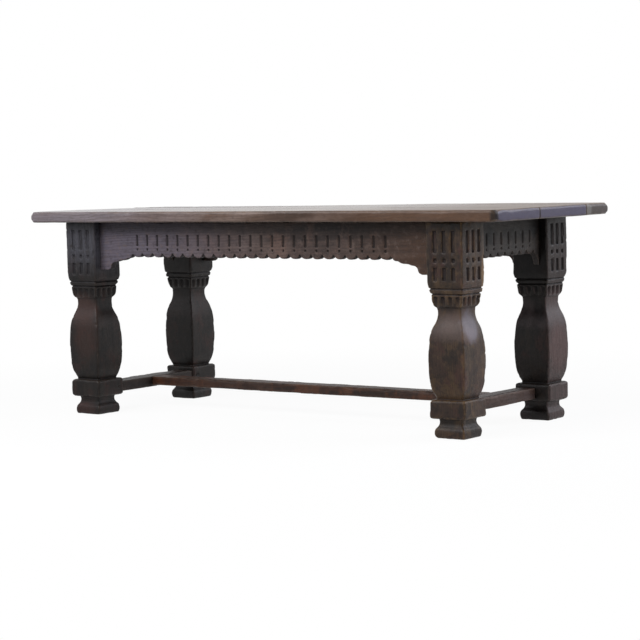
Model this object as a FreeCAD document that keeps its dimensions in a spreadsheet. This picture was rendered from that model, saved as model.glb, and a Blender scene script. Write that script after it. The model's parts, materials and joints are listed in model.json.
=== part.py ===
import FreeCAD, Part
import os
import re

import Sketcher

# Refectory table: plank top on four square baluster legs, with carved aprons and an H stretcher.
# Millimetres. X runs along the table, -Y is its front and +Z is up; the origin is on the floor.
# One quarter of the frame is modelled at the front right, and the rest is its mirror image.

Vector = FreeCAD.Vector
Rotation = FreeCAD.Rotation

doc = FreeCAD.newDocument("refectory_table")

# Driving sizes

SIZES = {
    # Top
    "TableHeight": 770,
    "TopLength": 2076,
    "TopWidth": 780,
    "TopThickness": 42,
    "TopCornerRound": 14,
    "TopUpperRound": 9,
    "TopLowerRound": 6,
    "EndOverhang": 154.5,
    "SideOverhang": 37,
    "FrontBoardWidth": 290,
    "RearBoardWidth": 170,
    "BoardJointEase": 1.2,
    "TongueWidth": 30,
    "TongueThickness": 10,
    "TongueEndCover": 60,
    # Legs, from the floor up
    "FootBaseSide": 111,
    "FootSide": 119,
    "FootShoulderSide": 114,
    "FootShoulderRise": 31,
    "FootLipSide": 101,
    "FootLipRise": 39,
    "FootNeckSide": 92,
    "FootNeckRise": 53,
    "BlockSeatSide": 98,
    "BlockRise": 67,
    "BlockHeight": 64,
    "BlockSide": 140,
    "BlockEase": 4.5,
    "BulbSeatSide": 102,
    "BulbRootSide": 124.4,
    "BulbLowSide": 136,
    "BulbSide": 142.5,
    "BulbHighSide": 136.4,
    "BulbTurnSide": 127,
    "BulbFallSide": 109,
    "NeckSwellSide": 97.6,
    "NeckSide": 94,
    "ArrisEase": 2.2,
    # Legs, from the underside of the top down
    "CapitalSide": 142,
    "CapitalHeight": 206,
    "CapitalEaseSide": 135,
    "CapitalEaseHeight": 14,
    "GrooveDepth": 12,
    "GrooveHeight": 7,
    "BandHeight": 11,
    "BandTopSide": 132,
    "BandFootSide": 129.5,
    "FluteBandTopSide": 124,
    "FluteBandHeight": 26,
    "FluteBandFootSide": 118,
    "OvoloHeight": 17,
    "OvoloFootSide": 96,
    "NeckHeight": 15,
    # Carving of the capitals
    "CapitalSlotWidth": 16,
    "CapitalSlotPitch": 36,
    "CapitalSlotDepth": 6,
    "TallSlotDrop": 28,
    "TallSlotHeight": 74,
    "CapitalDotDrop": 121,
    "CapitalDotHeight": 14,
    "CapitalDotWidth": 14,
    "ShortSlotDrop": 152,
    "ShortSlotHeight": 44,
    "FlutePitch": 29,
    "FluteRadius": 9,
    "FluteDepth": 7,
    "FluteDrop": 5,
    # Aprons
    "ApronSetBack": 31,
    "ApronThickness": 25,
    "LobeDrop": 131,
    "LobeRise": 22,
    "LobeFlat": 4,
    "LongBracketLength": 160.5,
    "EndBracketLength": 42.25,
    "BracketDepth": 48,
    "ApronSlotDrop": 46,
    "ApronSlotHeight": 44,
    "ApronSlotWidth": 10,
    "ApronSlotDepth": 5,
    "ApronDotDrop": 97,
    "ApronDotSide": 9,
    # Stretchers
    "EndStretcherWidth": 80,
    "EndStretcherInset": 5,
    "EndStretcherThickness": 41.5,
    "LongStretcherWidth": 74,
    "LongStretcherThickness": 35,
    "StretcherDrop": 13.5,
    # Joints
    "ApronTenonLength": 60,
    "ApronTenonThickness": 10,
    "ApronTenonHeight": 78,
    "ApronTenonDrop": 30,
    "StretcherTenonLength": 55,
    "StretcherTenonWidth": 50,
    "StretcherTenonHeight": 24,
    "LongTenonLength": 48,
    "LongTenonWidth": 46,
    "LongTenonHeight": 16,
    "JointFit": 0.2,
    "MortiseEndRoom": 0.8,
    "PegDiameter": 9,
    "ApronPegDepth": 118,
    "ApronPegInset": 28,
    "ApronPegSpacing": 40,
    "ApronPegStagger": 15,
    "StretcherPegDepth": 105,
    "StretcherPegInset": 26,
    "LongPegDepth": 35,
    "LongPegInset": 22,
    "LongPegSpacing": 26,
    # Fixings of the top
    "ButtonLength": 48,
    "ButtonWidth": 34,
    "ButtonThickness": 20,
    "ButtonLip": 8,
    "ButtonLipThickness": 9,
    "ScrewLength": 40,
    "ScrewDiameter": 5,
    "ScrewHeadDiameter": 10,
    "ScrewHeadHeight": 3,
    # Every cut starts this far outside the wood
    "CutOverrun": 20,
}

COUNTS = {
    "LongLobes": 24,
    "EndLobes": 7,
}

sheet = doc.addObject("Spreadsheet::Sheet", "Sizes")
for row, (alias, number) in enumerate({**SIZES, **COUNTS}.items(), start=1):
    sheet.set(f"A{row}", alias)
    sheet.set(f"B{row}", str(number))
    sheet.setAlias(f"B{row}", alias)
doc.recompute()

# Places that follow from the driving sizes

LEG_TOP = "(TableHeight - TopThickness)"
LEG_X = "(TopLength / 2 - EndOverhang - CapitalSide / 2)"
LEG_Y = "(CapitalSide / 2 + SideOverhang - TopWidth / 2)"
LEG_INNER_X = f"({LEG_X} - CapitalSide / 2)"
LEG_INNER_Y = f"({LEG_Y} + CapitalSide / 2)"
LONG_FACE = "(TopWidth / 2 - SideOverhang - ApronSetBack)"
END_FACE = "(TopLength / 2 - EndOverhang - ApronSetBack)"
LONG_HALF = LEG_INNER_X
END_HALF = f"(-{LEG_INNER_Y})"
TENON_TOP = f"({LEG_TOP} - ApronTenonDrop)"
TENON_MIDDLE = f"({TENON_TOP} - ApronTenonHeight / 2)"
BLOCK_INNER_X = f"({LEG_X} - BlockSide / 2)"
BLOCK_INNER_Y = f"({LEG_Y} + BlockSide / 2)"
STRETCHER_TOP = "(BlockRise + BlockHeight - StretcherDrop)"
STRETCHER_INNER_X = f"({BLOCK_INNER_X} + EndStretcherInset)"
STRETCHER_MIDDLE_X = f"({STRETCHER_INNER_X} + EndStretcherWidth / 2)"
STRETCHER_MIDDLE_Z = f"({STRETCHER_TOP} - EndStretcherThickness / 2)"
LONG_STRETCHER_Z = f"({STRETCHER_TOP} - LongStretcherThickness / 2)"
FRONT_JOINT_Y = "(FrontBoardWidth - TopWidth / 2)"
REAR_JOINT_Y = "(TopWidth / 2 - RearBoardWidth)"
TOP_MIDDLE_Z = "(TableHeight - TopThickness / 2)"


# Expressions, boxes, cylinders and booleans

def bound(text):
    """The expression with each size's name pointed at its cell."""
    return re.sub(r"\b[A-Z]\w+", lambda name: "Sizes." + name.group(0), text)


def value(text):
    """The number that an expression of sizes has now."""
    return float(sheet.evalExpression(text))


def bind(thing, **properties):
    for name, text in properties.items():
        thing.setExpression(name.replace("__", "."), bound(text))


def place(thing, x, y, z):
    bind(thing, Placement__Base__x=x, Placement__Base__y=y, Placement__Base__z=z)


def box(name, x, y, z):
    """A block between two planes on each axis, given as pairs of expressions."""
    block = doc.addObject("Part::Box", name)
    place(block, x[0], y[0], z[0])
    length, width, height = (f"({high}) - ({low})" for low, high in (x, y, z))
    bind(block, Length=length, Width=width, Height=height)
    return block


def span(middle, size):
    """The pair of planes that stand either side of a middle."""
    return f"({middle} - ({size}) / 2)", f"({middle} + ({size}) / 2)"


AXIS_TURNS = {
    "+X": Rotation(Vector(0, 1, 0), 90),
    "-Y": Rotation(Vector(1, 0, 0), 90),
    "+Z": Rotation(),
}


def cylinder(name, start, axis, radius, length):
    """A round bar that runs from its start point along an axis."""
    bar = doc.addObject("Part::Cylinder", name)
    bar.Placement.Rotation = AXIS_TURNS[axis]
    place(bar, *start)
    bind(bar, Radius=radius, Height=length)
    return bar


def group(name, members):
    gathered = doc.addObject("Part::Compound", name)
    gathered.Links = members
    return gathered


def cut(name, base, tools):
    """The base less a set of tools that stay clear of each other."""
    result = doc.addObject("Part::Cut", name)
    result.Base = base
    result.Tool = tools[0] if len(tools) == 1 else group(name + "_tools", tools)
    return result


def fuse(name, members):
    result = doc.addObject("Part::MultiFuse", name)
    result.Shapes = members
    return result


def common(name, base, tool):
    result = doc.addObject("Part::Common", name)
    result.Base = base
    result.Tool = tool
    return result


def mirror(name, source, normal):
    """The same piece on the other side of the table."""
    image = doc.addObject("Part::Mirroring", name)
    image.Source = source
    image.Normal = normal
    return image


ACROSS_LENGTH = Vector(1, 0, 0)
ACROSS_WIDTH = Vector(0, 1, 0)


# Outlines: closed chains of lines and arcs, each corner held by two bound distances

def line(x, y):
    return {"to": (x, y)}


def arc(x, y, via):
    return {"to": (x, y), "via": via}


def draw(sketch, steps):
    """Draw a closed outline and hold each of its points at two bound distances from the origin."""
    START, END, ORIGIN, ROOT = 1, 2, -1, 1
    curves, ends, held, swells = [], [], [], []
    last = steps[-1]["to"]
    for index, step in enumerate(steps):
        marks = [last, step["via"], step["to"]] if "via" in step else [last, step["to"]]
        points = [Vector(value(x), value(y)) for x, y in marks]
        last = step["to"]
        clockwise = False
        if "via" in step:
            first, middle, final = points
            clockwise = (middle - first).cross(final - middle).z < 0
            curves.append(Part.Arc(final, middle, first) if clockwise else Part.Arc(first, middle, final))
            swells.append((index, step["via"], middle))
        else:
            curves.append(Part.LineSegment(*points))
        ends.append((END, START) if clockwise else (START, END))
        held.append((index, ends[index][1], step["to"], points[-1]))
    sketch.addGeometry(curves, False)
    rules = []
    for index, (_, end) in enumerate(ends):
        following = (index + 1) % len(steps)
        rules.append(Sketcher.Constraint("Coincident", index, end, following, ends[following][0]))
    for index, via, point in swells:
        middle = sketch.addGeometry(Part.Point(point), True)
        rules.append(Sketcher.Constraint("PointOnObject", middle, START, index))
        held.append((middle, START, via, point))
    texts = []
    for index, position, (x, y), point in held:
        for kind, text, number in (("DistanceX", x, point.x), ("DistanceY", y, point.y)):
            texts.append((len(rules), text))
            rules.append(Sketcher.Constraint(kind, ORIGIN, ROOT, index, position, number))
    sketch.addConstraint(rules)
    for number, text in texts:
        sketch.setExpression(f"Constraints[{number}]", bound(text))
    return sketch


def minus(text):
    return f"-({text})"


def both_sides(steps):
    """A right-hand outline that starts on the axis, carried on down its mirror image."""
    left = []
    for index in range(len(steps) - 1, 0, -1):
        step = steps[index]
        x, y = steps[index - 1]["to"]
        image = {"to": (minus(x), y)}
        if "via" in step:
            image["via"] = (minus(step["via"][0]), step["via"][1])
        left.append(image)
    top = line(minus(steps[-1]["to"][0]), steps[-1]["to"][1])
    return steps + [top] + left


def rectangle(x, y):
    return [line(x[1], y[0]), line(x[1], y[1]), line(x[0], y[1]), line(x[0], y[0])]


# Bodies built from sketches on their own origin planes

def new_body(name):
    return doc.addObject("PartDesign::Body", name)


def plane_sketch(body, name, role, offset, steps):
    sketch = body.newObject("Sketcher::SketchObject", name)
    sketch.AttachmentSupport = [(plane, "") for plane in body.Origin.OriginFeatures if plane.Role == role]
    sketch.MapMode = "FlatFace"
    bind(sketch, AttachmentOffset__Base__z=offset)
    return draw(sketch, steps)


def feature(body, kind, name, **properties):
    made = body.newObject("PartDesign::" + kind, name)
    for key, entry in properties.items():
        setattr(made, key, entry)
    return made


def row_of(body, name, original, sketch, pitch, count):
    """Repeat a carved feature along the sketch at an even pitch."""
    pattern = feature(body, "LinearPattern", name, Originals=[original], Direction=(sketch, ["H_Axis"]))
    pattern.Mode = "Spacing"
    bind(pattern, Offset=pitch, Occurrences=count)
    body.Tip = pattern
    return pattern


# Legs

BLOCK_TOP = "(BlockRise + BlockHeight)"
CAPITAL_FOOT = f"({LEG_TOP} - CapitalHeight)"
EASE_FOOT = f"({CAPITAL_FOOT} - CapitalEaseHeight)"
BAND_TOP = f"({EASE_FOOT} - GrooveHeight)"
BAND_FOOT = f"({BAND_TOP} - BandHeight)"
FLUTE_TOP = f"({BAND_FOOT} - GrooveHeight)"
FLUTE_FOOT = f"({FLUTE_TOP} - FluteBandHeight)"
OVOLO_FOOT = f"({FLUTE_FOOT} - OvoloHeight)"
NECK_RISE = f"({OVOLO_FOOT} - NeckHeight)"

# Heights on the bulb as shares of the way from the block to the neck
bulb_root_share = 0.098
bulb_low_share = 0.2
bulb_belly_share = 0.4
bulb_high_share = 0.677
bulb_turn_share = 0.772
bulb_fall_share = 0.864
neck_swell_share = 0.931
# Widest point of the foot pad, and fullest point of the ovolo, as shares of their own heights
foot_belly_share = 0.5
ovolo_swell_share = 0.42
ovolo_reach_share = 0.68


def on_bulb(share):
    return f"({BLOCK_TOP} + ({NECK_RISE} - {BLOCK_TOP}) * {share})"


def leg_outline(half):
    """Right half of a leg's side view, from the floor up; half turns a side into a half width."""
    block_eased = half("(BlockSide - 2 * BlockEase)")
    ovolo_side = f"(OvoloFootSide + (FluteBandFootSide - OvoloFootSide) * {ovolo_reach_share})"
    return [
        line(half("FootBaseSide"), "0"),
        arc(half("FootShoulderSide"), "FootShoulderRise",
            (half("FootSide"), f"FootShoulderRise * {foot_belly_share}")),
        line(half("FootLipSide"), "FootLipRise"),
        arc(half("BlockSeatSide"), "BlockRise", (half("FootNeckSide"), "FootNeckRise")),
        line(block_eased, "BlockRise"),
        line(half("BlockSide"), "BlockRise + BlockEase"),
        line(half("BlockSide"), f"{BLOCK_TOP} - BlockEase"),
        line(block_eased, BLOCK_TOP),
        line(half("BulbSeatSide"), BLOCK_TOP),
        arc(half("BulbLowSide"), on_bulb(bulb_low_share), (half("BulbRootSide"), on_bulb(bulb_root_share))),
        arc(half("BulbHighSide"), on_bulb(bulb_high_share), (half("BulbSide"), on_bulb(bulb_belly_share))),
        arc(half("BulbFallSide"), on_bulb(bulb_fall_share),
            (half("BulbTurnSide"), on_bulb(bulb_turn_share))),
        arc(half("NeckSide"), NECK_RISE, (half("NeckSwellSide"), on_bulb(neck_swell_share))),
        line(half("OvoloFootSide"), OVOLO_FOOT),
        arc(half("FluteBandFootSide"), FLUTE_FOOT,
            (half(ovolo_side), f"{OVOLO_FOOT} + OvoloHeight * {ovolo_swell_share}")),
        line(half("FluteBandTopSide"), FLUTE_TOP),
        line(half("(FluteBandTopSide - GrooveDepth)"), f"{FLUTE_TOP} + GrooveHeight / 2"),
        line(half("BandFootSide"), BAND_FOOT),
        line(half("BandTopSide"), BAND_TOP),
        line(half("(BandTopSide - GrooveDepth)"), f"{BAND_TOP} + GrooveHeight / 2"),
        line(half("CapitalEaseSide"), EASE_FOOT),
        line(half("CapitalSide"), CAPITAL_FOOT),
        line(half("CapitalSide"), LEG_TOP),
    ]


def square_half(side):
    return f"{side} / 2"


def corner_half(side):
    """Half the diagonal of a square, less what is worn off its arris."""
    return f"({side} / 2 * sqrt(2) - ArrisEase)"


def leg_blank():
    """The square baluster: its side view cut through from both sides, and its arrises worn."""
    slabs = []
    for turn, half in ((0, square_half), (90, square_half), (45, corner_half), (135, corner_half)):
        sketch = doc.addObject("Sketcher::SketchObject", f"leg_view_{turn}")
        sketch.Placement.Rotation = Rotation(Vector(0, 0, 1), turn) * Rotation(Vector(1, 0, 0), 90)
        place(sketch, LEG_X, LEG_Y, "0")
        draw(sketch, both_sides(leg_outline(half)))
        slab = doc.addObject("Part::Extrusion", f"leg_slab_{turn}")
        slab.Base = sketch
        slab.DirMode = "Normal"
        slab.Symmetric = True
        slab.Solid = True
        bind(slab, LengthFwd="CapitalSide * 2")
        slabs.append(slab)
    squared = common("leg_squared", slabs[0], slabs[1])
    half_worn = common("leg_half_worn", squared, slabs[2])
    return common("leg_blank", half_worn, slabs[3])


def capital_carving():
    """Slots and dots on the two outer faces of the capital."""
    rows = (
        ("tall", "TallSlotDrop", "TallSlotHeight", "CapitalSlotWidth"),
        ("dot", "CapitalDotDrop", "CapitalDotHeight", "CapitalDotWidth"),
        ("short", "ShortSlotDrop", "ShortSlotHeight", "CapitalSlotWidth"),
    )
    front = (f"{LEG_Y} - CapitalSide / 2 - CutOverrun", f"{LEG_Y} - CapitalSide / 2 + CapitalSlotDepth")
    outer = (f"{LEG_X} + CapitalSide / 2 - CapitalSlotDepth", f"{LEG_X} + CapitalSide / 2 + CutOverrun")
    cuts = []
    for name, drop, height, width in rows:
        z = (f"({LEG_TOP} - {drop} - {height})", f"({LEG_TOP} - {drop})")
        for column in (-1, 0, 1):
            across_x = span(f"{LEG_X} + CapitalSlotPitch * {column}", width)
            across_y = span(f"{LEG_Y} + CapitalSlotPitch * {column}", width)
            cuts.append(box(f"front_{name}_slot", across_x, front, z))
            cuts.append(box(f"outer_{name}_slot", outer, across_y, z))
    return cuts


flute_place_shares = (-1.5, -0.5, 0.5, 1.5)


def flute_carving():
    """Gouged flutes round the band under the capital."""
    reach = "((FluteBandTopSide + FluteBandFootSide) / 4 + FluteRadius - FluteDepth)"
    height = f"{FLUTE_TOP} - FluteDrop - {OVOLO_FOOT}"
    cuts = []
    for share in flute_place_shares:
        along = f"FlutePitch * {share}"
        for x, y in ((along, minus(reach)), (along, reach), (minus(reach), along), (reach, along)):
            start = (f"{LEG_X} + {x}", f"{LEG_Y} + {y}", OVOLO_FOOT)
            cuts.append(cylinder("flute", start, "+Z", "FluteRadius", height))
    return cuts


def mortise(name, x, y, z, along):
    """The seat of a tenon, with room at its cheeks and end and open at its mouth."""
    fitted = [(f"({low} - JointFit)", f"({high} + JointFit)") for low, high in (x, y, z)]
    low, high = (x, y, z)["XY".index(along[1])]
    if along[0] == "+":
        fitted["XY".index(along[1])] = (f"({low} - CutOverrun)", f"({high} + MortiseEndRoom)")
    else:
        fitted["XY".index(along[1])] = (f"({low} - MortiseEndRoom)", f"({high} + CutOverrun)")
    return box(name, *fitted)


LONG_TENON = (
    (LEG_INNER_X, f"({LEG_INNER_X} + ApronTenonLength)"),
    span(f"ApronThickness / 2 - {LONG_FACE}", "ApronTenonThickness"),
    (f"({TENON_TOP} - ApronTenonHeight)", TENON_TOP),
)
END_TENON = (
    span(f"{END_FACE} - ApronThickness / 2", "ApronTenonThickness"),
    (f"({LEG_INNER_Y} - ApronTenonLength)", LEG_INNER_Y),
    (f"({TENON_TOP} - ApronTenonHeight)", TENON_TOP),
)
STRETCHER_TENON = (
    span(STRETCHER_MIDDLE_X, "StretcherTenonWidth"),
    (f"({BLOCK_INNER_Y} - StretcherTenonLength)", BLOCK_INNER_Y),
    span(STRETCHER_MIDDLE_Z, "StretcherTenonHeight"),
)


def long_tenon_pegs(name, radius):
    """Pegs of a long apron's tenon, driven from inside; a wider radius gives their holes."""
    bars = []
    for step in (-1, 1):
        z = f"{TENON_MIDDLE} + ApronPegStagger / 2 + ApronPegSpacing / 2 * {step}"
        start = (f"{LEG_INNER_X} + ApronPegInset", LEG_INNER_Y, z)
        bars.append(cylinder(name, start, "-Y", radius, "ApronPegDepth"))
    return bars


def end_tenon_pegs(name, radius):
    """Pegs of an end apron's tenon, which pass between those of the long apron."""
    bars = []
    for step in (-1, 1):
        z = f"{TENON_MIDDLE} - ApronPegStagger / 2 + ApronPegSpacing / 2 * {step}"
        start = (LEG_INNER_X, f"{LEG_INNER_Y} - ApronPegInset", z)
        bars.append(cylinder(name, start, "+X", radius, "ApronPegDepth"))
    return bars


def stretcher_peg(name, radius):
    start = (BLOCK_INNER_X, f"{BLOCK_INNER_Y} - StretcherPegInset", STRETCHER_MIDDLE_Z)
    return cylinder(name, start, "+X", radius, "StretcherPegDepth")


PEG_RADIUS = "PegDiameter / 2"
PEG_HOLE_RADIUS = "PegDiameter / 2 + JointFit / 2"


def leg():
    carved = cut("leg_carved", leg_blank(), capital_carving() + flute_carving())
    mortises = [
        mortise("long_mortise", *LONG_TENON, "+X"),
        mortise("end_mortise", *END_TENON, "-Y"),
        mortise("stretcher_mortise", *STRETCHER_TENON, "-Y"),
    ]
    jointed = cut("leg_jointed", carved, mortises)
    holes = long_tenon_pegs("long_peg_hole", PEG_HOLE_RADIUS)
    holes += end_tenon_pegs("end_peg_hole", PEG_HOLE_RADIUS)
    holes.append(stretcher_peg("stretcher_peg_hole", PEG_HOLE_RADIUS))
    return cut("leg_front_right", jointed, holes)


# Aprons

# Bracket outlines: shares of the way from the last scallop to the leg, and of the bracket's depth.
# Each step has the middle of its arc, or none for a straight line, and its end.
long_bracket_shares = (
    ((0.0375, -0.03), (0.15, 0.06)),
    ((0.2375, 0.22), (0.36, 0.25)),
    (None, (0.535, 0.38)),
    ((0.615, 0.45), (0.66, 0.65)),
    ((0.7, 0.91), (0.775, 1)),
    (None, (1, 1)),
)
end_bracket_shares = (
    ((0.14, -0.1), (0.34, 0.06)),
    ((0.62, 0.26), (0.86, 0.74)),
    (None, (1, 1)),
)
# Fullness of a scallop's flank, as shares of its half width and of its rise
lobe_swell_shares = (0.29, 0.7)


def apron_outline(half, pitch, bracket, bracket_shares):
    """Right half of an apron's face: scallops' foot line, last scallop's flank, bracket and leg."""
    foot = f"({LEG_TOP} - LobeDrop)"
    last_cusp = f"({half} - {bracket})"
    flank = f"(({pitch} - LobeFlat) / 2)"
    swell_x, swell_z = lobe_swell_shares
    swell = (f"{last_cusp} - {flank} * {swell_x}", f"{foot} + LobeRise * (1 - {swell_z})")

    def on_bracket(shares):
        return f"{last_cusp} + {bracket} * {shares[0]}", f"{foot} - BracketDepth * ({shares[1]})"

    steps = [line(f"{last_cusp} - {flank}", foot), arc(last_cusp, f"{foot} + LobeRise", swell)]
    for via, end in bracket_shares:
        steps.append(arc(*on_bracket(end), on_bracket(via)) if via else line(*on_bracket(end)))
    return steps + [line(half, LEG_TOP)]


def notch_outline(middle, pitch):
    """The gap between two scallops, open below."""
    foot = f"({LEG_TOP} - LobeDrop)"
    flank = f"(({pitch} - LobeFlat) / 2)"
    swell_x, swell_z = lobe_swell_shares
    inner = f"{flank} * {swell_x}"
    side = f"{foot} + LobeRise * (1 - {swell_z})"
    return [
        line(f"{middle} - {flank}", f"{foot} - CutOverrun"),
        line(f"{middle} + {flank}", f"{foot} - CutOverrun"),
        line(f"{middle} + {flank}", foot),
        arc(middle, f"{foot} + LobeRise", (f"{middle} + {inner}", side)),
        arc(f"{middle} - {flank}", foot, (f"{middle} - {inner}", side)),
    ]


def apron(name, role, face, half, lobes, bracket, bracket_shares):
    """A carved apron on its own body: board, tenons, scallops, slots and dots."""
    body = new_body(f"{name}_board")
    first_cusp = f"({bracket} - {half})"
    pitch = f"(-2 * {first_cusp} / {lobes})"
    outline = both_sides(apron_outline(half, pitch, bracket, bracket_shares))
    board = plane_sketch(body, f"{name}_face", role, face, outline)
    pad = feature(body, "Pad", f"{name}_pad", Profile=board, Reversed=True)
    bind(pad, Length="ApronThickness")
    tenon_reach = f"({half} + ApronTenonLength)"
    bar = rectangle((minus(tenon_reach), tenon_reach), (f"{TENON_TOP} - ApronTenonHeight", TENON_TOP))
    tenon_face = f"{face} - (ApronThickness - ApronTenonThickness) / 2"
    tenons = feature(body, "Pad", f"{name}_tenons", Reversed=True,
                     Profile=plane_sketch(body, f"{name}_tenon_view", role, tenon_face, bar))
    bind(tenons, Length="ApronTenonThickness")
    doc.recompute()

    first_notch = notch_outline(f"({first_cusp} + {pitch})", pitch)
    notch_view = plane_sketch(body, f"{name}_notch_view", role, face, first_notch)
    notch = feature(body, "Pocket", f"{name}_notch", Profile=notch_view)
    bind(notch, Length="ApronThickness")
    row_of(body, f"{name}_notches", notch, notch_view, pitch, f"{lobes} - 1")

    first_slot = f"({first_cusp} + {pitch} / 2)"
    slot_z = (f"({LEG_TOP} - ApronSlotDrop - ApronSlotHeight)", f"({LEG_TOP} - ApronSlotDrop)")
    dot_z = (f"({LEG_TOP} - ApronDotDrop - ApronDotSide)", f"({LEG_TOP} - ApronDotDrop)")
    for mark, width, z in (("slot", "ApronSlotWidth", slot_z), ("dot", "ApronDotSide", dot_z)):
        view = plane_sketch(body, f"{name}_{mark}_view", role, face, rectangle(span(first_slot, width), z))
        pocket = feature(body, "Pocket", f"{name}_{mark}", Profile=view)
        bind(pocket, Length="ApronSlotDepth")
        row_of(body, f"{name}_{mark}s", pocket, view, pitch, lobes)
    return body


GROOVE_Z = (f"({LEG_TOP} - ButtonThickness - JointFit)",
            f"({LEG_TOP} - ButtonThickness + ButtonLipThickness)")


def long_apron():
    board = apron("long_apron", "XZ_Plane", LONG_FACE, LONG_HALF, "LongLobes", "LongBracketLength",
                  long_bracket_shares)
    back = f"ApronThickness - {LONG_FACE}"
    groove = box("long_groove", (minus(LONG_HALF), LONG_HALF),
                 (f"({back} - ButtonLip - JointFit)", f"({back} + CutOverrun)"), GROOVE_Z)
    right = long_tenon_pegs("long_apron_hole", PEG_HOLE_RADIUS)
    left = [mirror("long_apron_hole_left", hole, ACROSS_LENGTH) for hole in right]
    return cut("apron_front", board, [groove] + right + left)


def end_apron():
    board = apron("end_apron", "YZ_Plane", END_FACE, END_HALF, "EndLobes", "EndBracketLength",
                  end_bracket_shares)
    back = f"{END_FACE} - ApronThickness"
    groove = box("end_groove", (f"({back} - CutOverrun)", f"({back} + ButtonLip + JointFit)"),
                 (minus(END_HALF), END_HALF), GROOVE_Z)
    front = end_tenon_pegs("end_apron_hole", PEG_HOLE_RADIUS)
    rear = [mirror("end_apron_hole_rear", hole, ACROSS_WIDTH) for hole in front]
    return cut("apron_right", board, [groove] + front + rear)


# Stretchers

LONG_STRETCHER_TENON = (
    (STRETCHER_INNER_X, f"({STRETCHER_INNER_X} + LongTenonLength)"),
    span("0", "LongTenonWidth"),
    span(LONG_STRETCHER_Z, "LongTenonHeight"),
)


def long_pegs(name, radius):
    """Pegs of the long stretcher's right tenon, driven up from below."""
    foot = f"({STRETCHER_TOP} - EndStretcherThickness)"
    bars = []
    for side in (-1, 1):
        start = (f"{STRETCHER_INNER_X} + LongPegInset", f"LongPegSpacing / 2 * {side}", foot)
        bars.append(cylinder(name, start, "+Z", radius, "LongPegDepth"))
    return bars


def end_stretcher():
    x = (STRETCHER_INNER_X, f"({STRETCHER_INNER_X} + EndStretcherWidth)")
    z = (f"({STRETCHER_TOP} - EndStretcherThickness)", STRETCHER_TOP)
    rail = box("end_rail", x, (BLOCK_INNER_Y, minus(BLOCK_INNER_Y)), z)
    tenon_x, tenon_y, tenon_z = STRETCHER_TENON
    tenons = box("end_rail_tenons", tenon_x, (tenon_y[0], minus(tenon_y[0])), tenon_z)
    seat = mortise("long_stretcher_mortise", *LONG_STRETCHER_TENON, "+X")
    seated = cut("end_rail_seated", fuse("end_rail_whole", [rail, tenons]), [seat])
    front = stretcher_peg("end_rail_hole", PEG_HOLE_RADIUS)
    rear = mirror("end_rail_hole_rear", front, ACROSS_WIDTH)
    return cut("stretcher_right", seated, [front, rear] + long_pegs("end_rail_peg_hole", PEG_HOLE_RADIUS))


def long_stretcher():
    y = span("0", "LongStretcherWidth")
    z = (f"({STRETCHER_TOP} - LongStretcherThickness)", STRETCHER_TOP)
    rail = box("long_rail", (minus(STRETCHER_INNER_X), STRETCHER_INNER_X), y, z)
    reach, tenon_y, tenon_z = LONG_STRETCHER_TENON
    tenons = box("long_rail_tenons", (minus(reach[1]), reach[1]), tenon_y, tenon_z)
    right = long_pegs("long_rail_hole", PEG_HOLE_RADIUS)
    left = [mirror("long_rail_hole_left", hole, ACROSS_LENGTH) for hole in right]
    return cut("stretcher_long", fuse("long_rail_whole", [rail, tenons]), right + left)


# Buttons and screws that hold the top

BUTTON_FOOT = f"({LEG_TOP} - ButtonThickness)"
LONG_BUTTON_Y = f"(ApronThickness - {LONG_FACE})"
END_BUTTON_X = f"({END_FACE} - ApronThickness)"

# Where the buttons stand, as shares of half an apron's length from its middle
long_button_shares = (-0.754, -0.31, 0.31, 0.754)
end_button_shares = (-0.33, 0.33)


def button(name, x, y, lip_x, lip_y, screw):
    """A wooden button: a block under the top with a lip in the apron's groove, bored for its screw."""
    block = box(f"{name}_block", x, y, (BUTTON_FOOT, LEG_TOP))
    lip = box(f"{name}_lip", lip_x, lip_y, (BUTTON_FOOT, f"({BUTTON_FOOT} + ButtonLipThickness)"))
    whole = fuse(f"{name}_whole", [block, lip])
    return cut(name, whole, [screw])


def screw(name, x, y):
    """A countersunk screw, flush with the underside of its button."""
    head = doc.addObject("Part::Cone", f"{name}_head")
    place(head, x, y, BUTTON_FOOT)
    bind(head, Radius1="ScrewHeadDiameter / 2", Radius2="ScrewDiameter / 2", Height="ScrewHeadHeight")
    shank = cylinder(f"{name}_shank", (x, y, BUTTON_FOOT), "+Z", "ScrewDiameter / 2", "ScrewLength")
    return fuse(name, [head, shank])


def long_buttons():
    """Buttons and screws along the front apron."""
    y = (LONG_BUTTON_Y, f"({LONG_BUTTON_Y} + ButtonLength)")
    lip_y = (f"({LONG_BUTTON_Y} - ButtonLip)", f"({LONG_BUTTON_Y} + ButtonLip)")
    buttons, screws = [], []
    for share in long_button_shares:
        middle = f"{LONG_HALF} * {share}"
        x = span(middle, "ButtonWidth")
        screws.append(screw("long_screw", middle, f"{LONG_BUTTON_Y} + ButtonLength / 2"))
        buttons.append(button("long_button", x, y, x, lip_y, screws[-1]))
    return buttons, screws


def end_buttons():
    """Buttons and screws along the right-hand apron."""
    x = (f"({END_BUTTON_X} - ButtonLength)", END_BUTTON_X)
    lip_x = (f"({END_BUTTON_X} - ButtonLip)", f"({END_BUTTON_X} + ButtonLip)")
    buttons, screws = [], []
    for share in end_button_shares:
        middle = f"{END_HALF} * {share}"
        y = span(middle, "ButtonWidth")
        screws.append(screw("end_screw", f"{END_BUTTON_X} - ButtonLength / 2", middle))
        buttons.append(button("end_button", x, y, lip_x, y, screws[-1]))
    return buttons, screws


# Top

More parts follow.
